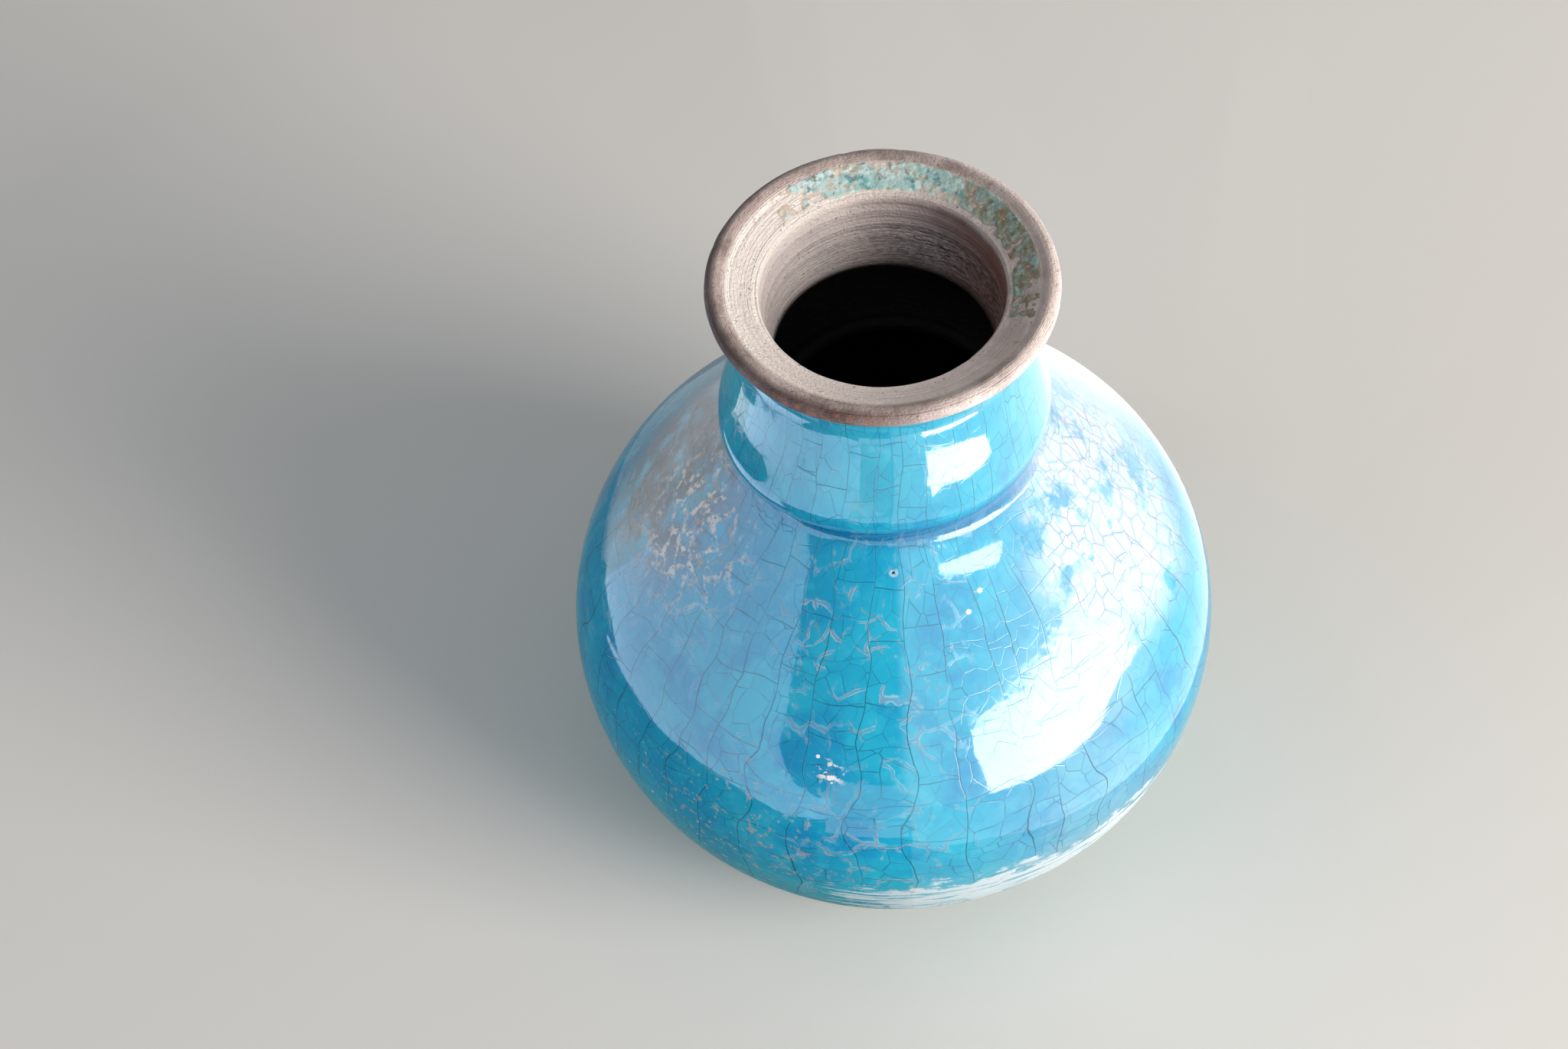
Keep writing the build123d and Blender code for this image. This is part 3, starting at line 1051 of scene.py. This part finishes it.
# Pale streaks low at the front: partly real scratches, partly a painted reflection
streaks_and_painted_reflection = together(
    crazed,
    between(crazed, streak_spot, 0.0, 0.2),
    between(crazed, frayed, 53, 48.5),
    between(crazed, frayed, 31, 37),
    between(crazed, streak_lines, 0.62, 0.82),
)
white_specks = together(
    crazed, round_spot(specked_place, 8, 36), patchy(crazed, place, 1.5, 0.69, 0.73, 1.0)
)
blisters = most_of(*(round_spot(*spot) for spot in blister_spots))
pit_rim = together(
    crazed, round_spot(pit_place, 0.5, 1.3), patchy(crazed, place, 0.8, 0.3, 0.55, 1.0)
)
pit = round_spot(pit_place, 0.25, 0.5)
scar = together(
    crazed, round_spot(scar_place, 1.0, 4.6), patchy(crazed, place, 2.2, 0.5, 0.56, 3.0)
)

# Colour of the glass: turquoise, deeper where thick, blue where it pooled and darker there as
# painted shade under the neck, greener low down, and milky in a veil over the right of the
# shoulder
veil = together(
    crazed,
    between(crazed, spread["X"], 12, 40),
    between(crazed, spread["X"], 66, 50),
    patchy(crazed, place, 12, 0.3, 0.6, 4.0, 0.34, 0.16),
)
# Deep blue about the crease: real pooled glaze, darkened further as painted shade under the neck
pooled_glaze_and_crease_shade = together(
    crazed, between(crazed, from_crease, -5.0, -0.5), between(crazed, from_crease, 7.0, 0.5)
)
colour = layered(
    crazed,
    "#0E9BC6",
    ("#1FAED0", patchy(crazed, place, 24, 0.38, 0.62)),
    ("#0A82BC", patchy(crazed, place, 17, 0.5, 0.66, 3.0), 0.6),
    ("#4CC6DE", patchy(crazed, place, 5, 0.5, 0.75, 5.0), 0.4),
    ("#379C98", between(crazed, from_crease, -72, -120), 0.75),
    ("#4ABACD", between(crazed, from_crease, 8.0, 14.0), 0.35),
    ("#A8B4C2", veil),
    ("#075E98", pooled_glaze_and_crease_shade, 0.75),
    ("#6FC6C4", between(crazed, from_crease, coat_end - 2.4, coat_end - 0.8), 0.6),
    ("#0A86B8", cell_share, 0.22),
    ("#5E5556", stain, 0.88),
    ("#CADDE2", decay, 0.7),
    ("#DCC9D6", decay, patchy(crazed, place, 4, 0.52, 0.62), 0.6),
    ("#7C8FAE", decay_net, 0.55),
    ("#AEB6BC", worms, 0.5),
    ("#1C86B2", worm_cores, 0.7),
    ("#A8A9AC", thin_worms, 0.5),
    ("#104560", cracks, 0.75),
    ("#B3A091", gold_flecks, 0.8),
    ("#E2D3C9", flaked_seams, 0.85),
    ("#D3DBE0", streaks_and_painted_reflection, 0.8),
    ("#E9EBE2", white_specks, 0.8),
    ("#DDE6EA", pit_rim, 0.7),
    ("#3A2A28", pit),
    ("#F4F4F0", most_of(blisters, scar)),
)
dull = most_of(
    together(crazed, decay, 0.3), together(crazed, worms, 0.35), together(crazed, stain, 0.16)
)
dull = most_of(dull, together(crazed, streaks_and_painted_reflection, 0.35), together(crazed, gold_flecks, 0.4))
roughness = put(
    crazed,
    "Math",
    {0: dull, 1: patchy(crazed, place, 9, 0.3, 0.7, 3.0, 0.07, 0.035)},
    operation="ADD",
)
smooth_glass = patchy(crazed, place, 2.6, 0.2, 0.8, 1.0)
unbroken = put(crazed, "Math", {0: 1.0, 1: cracks}, operation="SUBTRACT")
finished(
    crazed,
    coat.data,
    colour,
    roughness,
    relief(crazed, (smooth_glass, 0.005), (unbroken, 0.012), (worms, 0.014), (decay, 0.01)),
)
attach(coat, "root")
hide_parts("outer_glaze")

# Mouth glaze. What is left of the coat in the dished flare, round the back and the right: thin,
# pale green-turquoise, eaten away at its edges and stained rust brown.
mouth_glaze_start = math.radians(-36)
mouth_glaze_sweep = math.radians(186)
mouth_glaze_rows = 44
mouth_glaze_steps = 480
mouth_glaze_thick = 0.33
mouth_glaze_bed = -0.3
film_reach = (0.08, 0.985)
edge_fade = 0.1
end_fade = math.radians(26)
start_haste = 1.3
raggedness = 0.9
whole_from = math.radians(38)
whole_over = math.radians(40)

shares = np.linspace(*film_reach, mouth_glaze_rows)
film_angles = flare_angles[0] + shares * (flare_angles[1] - flare_angles[0])
film_line = np.array([at_angle(flare_centre, flare_radius, a) for a in film_angles])
film_out = (flare_centre - film_line) / flare_radius
mouth_angles = mouth_glaze_start + np.linspace(0, 1, mouth_glaze_steps) * mouth_glaze_sweep
mouth_points = turned(film_line, mouth_angles, neck_place, neck_right, neck_up)
mouth_ways = turned(film_out, mouth_angles, np.zeros(3), neck_right, neck_up)
mouth_along = flare_first + flare_radius * np.radians(abs(film_angles - flare_angles[0]))
clay_there = clay_unevenness(mouth_points, mouth_along)
to_edge = np.minimum(shares - shares[0], shares[-1] - shares)[:, None] / edge_fade
from_start = start_haste * (mouth_angles - mouth_angles[0])
to_end = np.minimum(from_start, mouth_angles[-1] - mouth_angles)
to_end = to_end * (1 + raggedness * ripple(mouth_points, 5.0, 31.7))
to_edge = to_edge.clip(0, 1)
to_end = (to_end / end_fade).clip(0, 1)
islands = 0.5 * ripple(mouth_points, 6.5, 15.3) + 0.35 * ripple(mouth_points, 2.3, 21.7)
islands = islands + 0.3 * ripple(mouth_points, 1.1, 27.1)
whole = np.clip((mouth_angles - whole_from) / whole_over, 0, 1)
islands = islands + 0.16 + 0.24 * whole + 0.75 * (to_edge - 1) + 1.3 * (to_end - 1)
film = np.clip(islands / 0.5, -0.4, 1) * mouth_glaze_thick
film_top = mouth_points + (clay_there + film)[..., None] * mouth_ways
film_bed = mouth_points + (clay_there + mouth_glaze_bed)[..., None] * mouth_ways

count = mouth_glaze_rows * mouth_glaze_steps
rows = np.arange(mouth_glaze_rows)[:, None] * mouth_glaze_steps
number = rows + np.arange(mouth_glaze_steps)
corners = [number[:-1, :-1], number[:-1, 1:], number[1:, 1:], number[1:, :-1]]
squares = np.stack(corners, -1).reshape(-1, 4)
rim = np.concatenate([number[0], number[1:, -1], number[-1, -2::-1], number[-2:0:-1, 0]])
next_rim = np.roll(rim, -1)
film_faces = np.concatenate(
    [
        squares[:, ::-1],
        squares + count,
        np.stack([rim, next_rim, next_rim + count, rim + count], 1),
    ]
)
film_spots = np.concatenate([film_top.reshape(-1, 3), film_bed.reshape(-1, 3)]) / 1000
film_mesh = bpy.data.meshes.new("worn_mouth_glaze")
film_mesh.from_pydata(film_spots.tolist(), [], film_faces.tolist())
film_mesh.polygons.foreach_set("use_smooth", [True] * len(film_mesh.polygons))
film_piece = bpy.data.objects.new("worn_mouth_glaze", film_mesh)
bpy.context.scene.collection.objects.link(film_piece)
keep_value(film_mesh, "thickness", np.tile(film.ravel() / mouth_glaze_thick, 2))

decayed = new_material("decayed_green_turquoise_glaze")
place = in_millimetres(decayed)
thickness = put(decayed, "Attribute", out="Fac", attribute_name="thickness")
sideways = put(decayed, "SeparateXYZ", {0: place}, "X")
on_the_right = between(decayed, sideways, 4, 26)
off_right = between(decayed, on_the_right, 0.0, 1.0, 1.0, 0.0)
more_on_left = between(decayed, sideways, 8, -12, 0.55, 1.0)
colour = layered(
    decayed,
    "#A3C6C2",
    ("#D6E7E8", patchy(decayed, place, 6, 0.4, 0.6), more_on_left),
    ("#7C9F94", on_the_right, 0.6),
    ("#62A3AA", patchy(decayed, place, 3.5, 0.54, 0.66)),
    ("#A29A72", patchy(decayed, place, 3.0, 0.52, 0.64, 5.0), 0.6),
    ("#75765A", on_the_right, patchy(decayed, place, 3.0, 0.38, 0.6, 6.0), 0.8),
    ("#7A5236", patchy(decayed, place, 2.0, 0.56, 0.68, 5.0), 0.7),
    ("#6E4A34", on_the_right, patchy(decayed, place, 1.6, 0.5, 0.62, 5.0), 0.75),
    ("#D2C0B0", between(decayed, thickness, 0.7, 0.05), off_right),
    ("#8A7462", between(decayed, thickness, 0.6, 0.0), on_the_right, 0.8),
)
pitted = patchy(decayed, place, 1.1, 0.3, 0.7, 3.0)
finished(decayed, film_mesh, colour, roughness=0.4, way_out=relief(decayed, (pitted, 0.1)))
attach(film_piece, "root")
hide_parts("mouth_glaze")
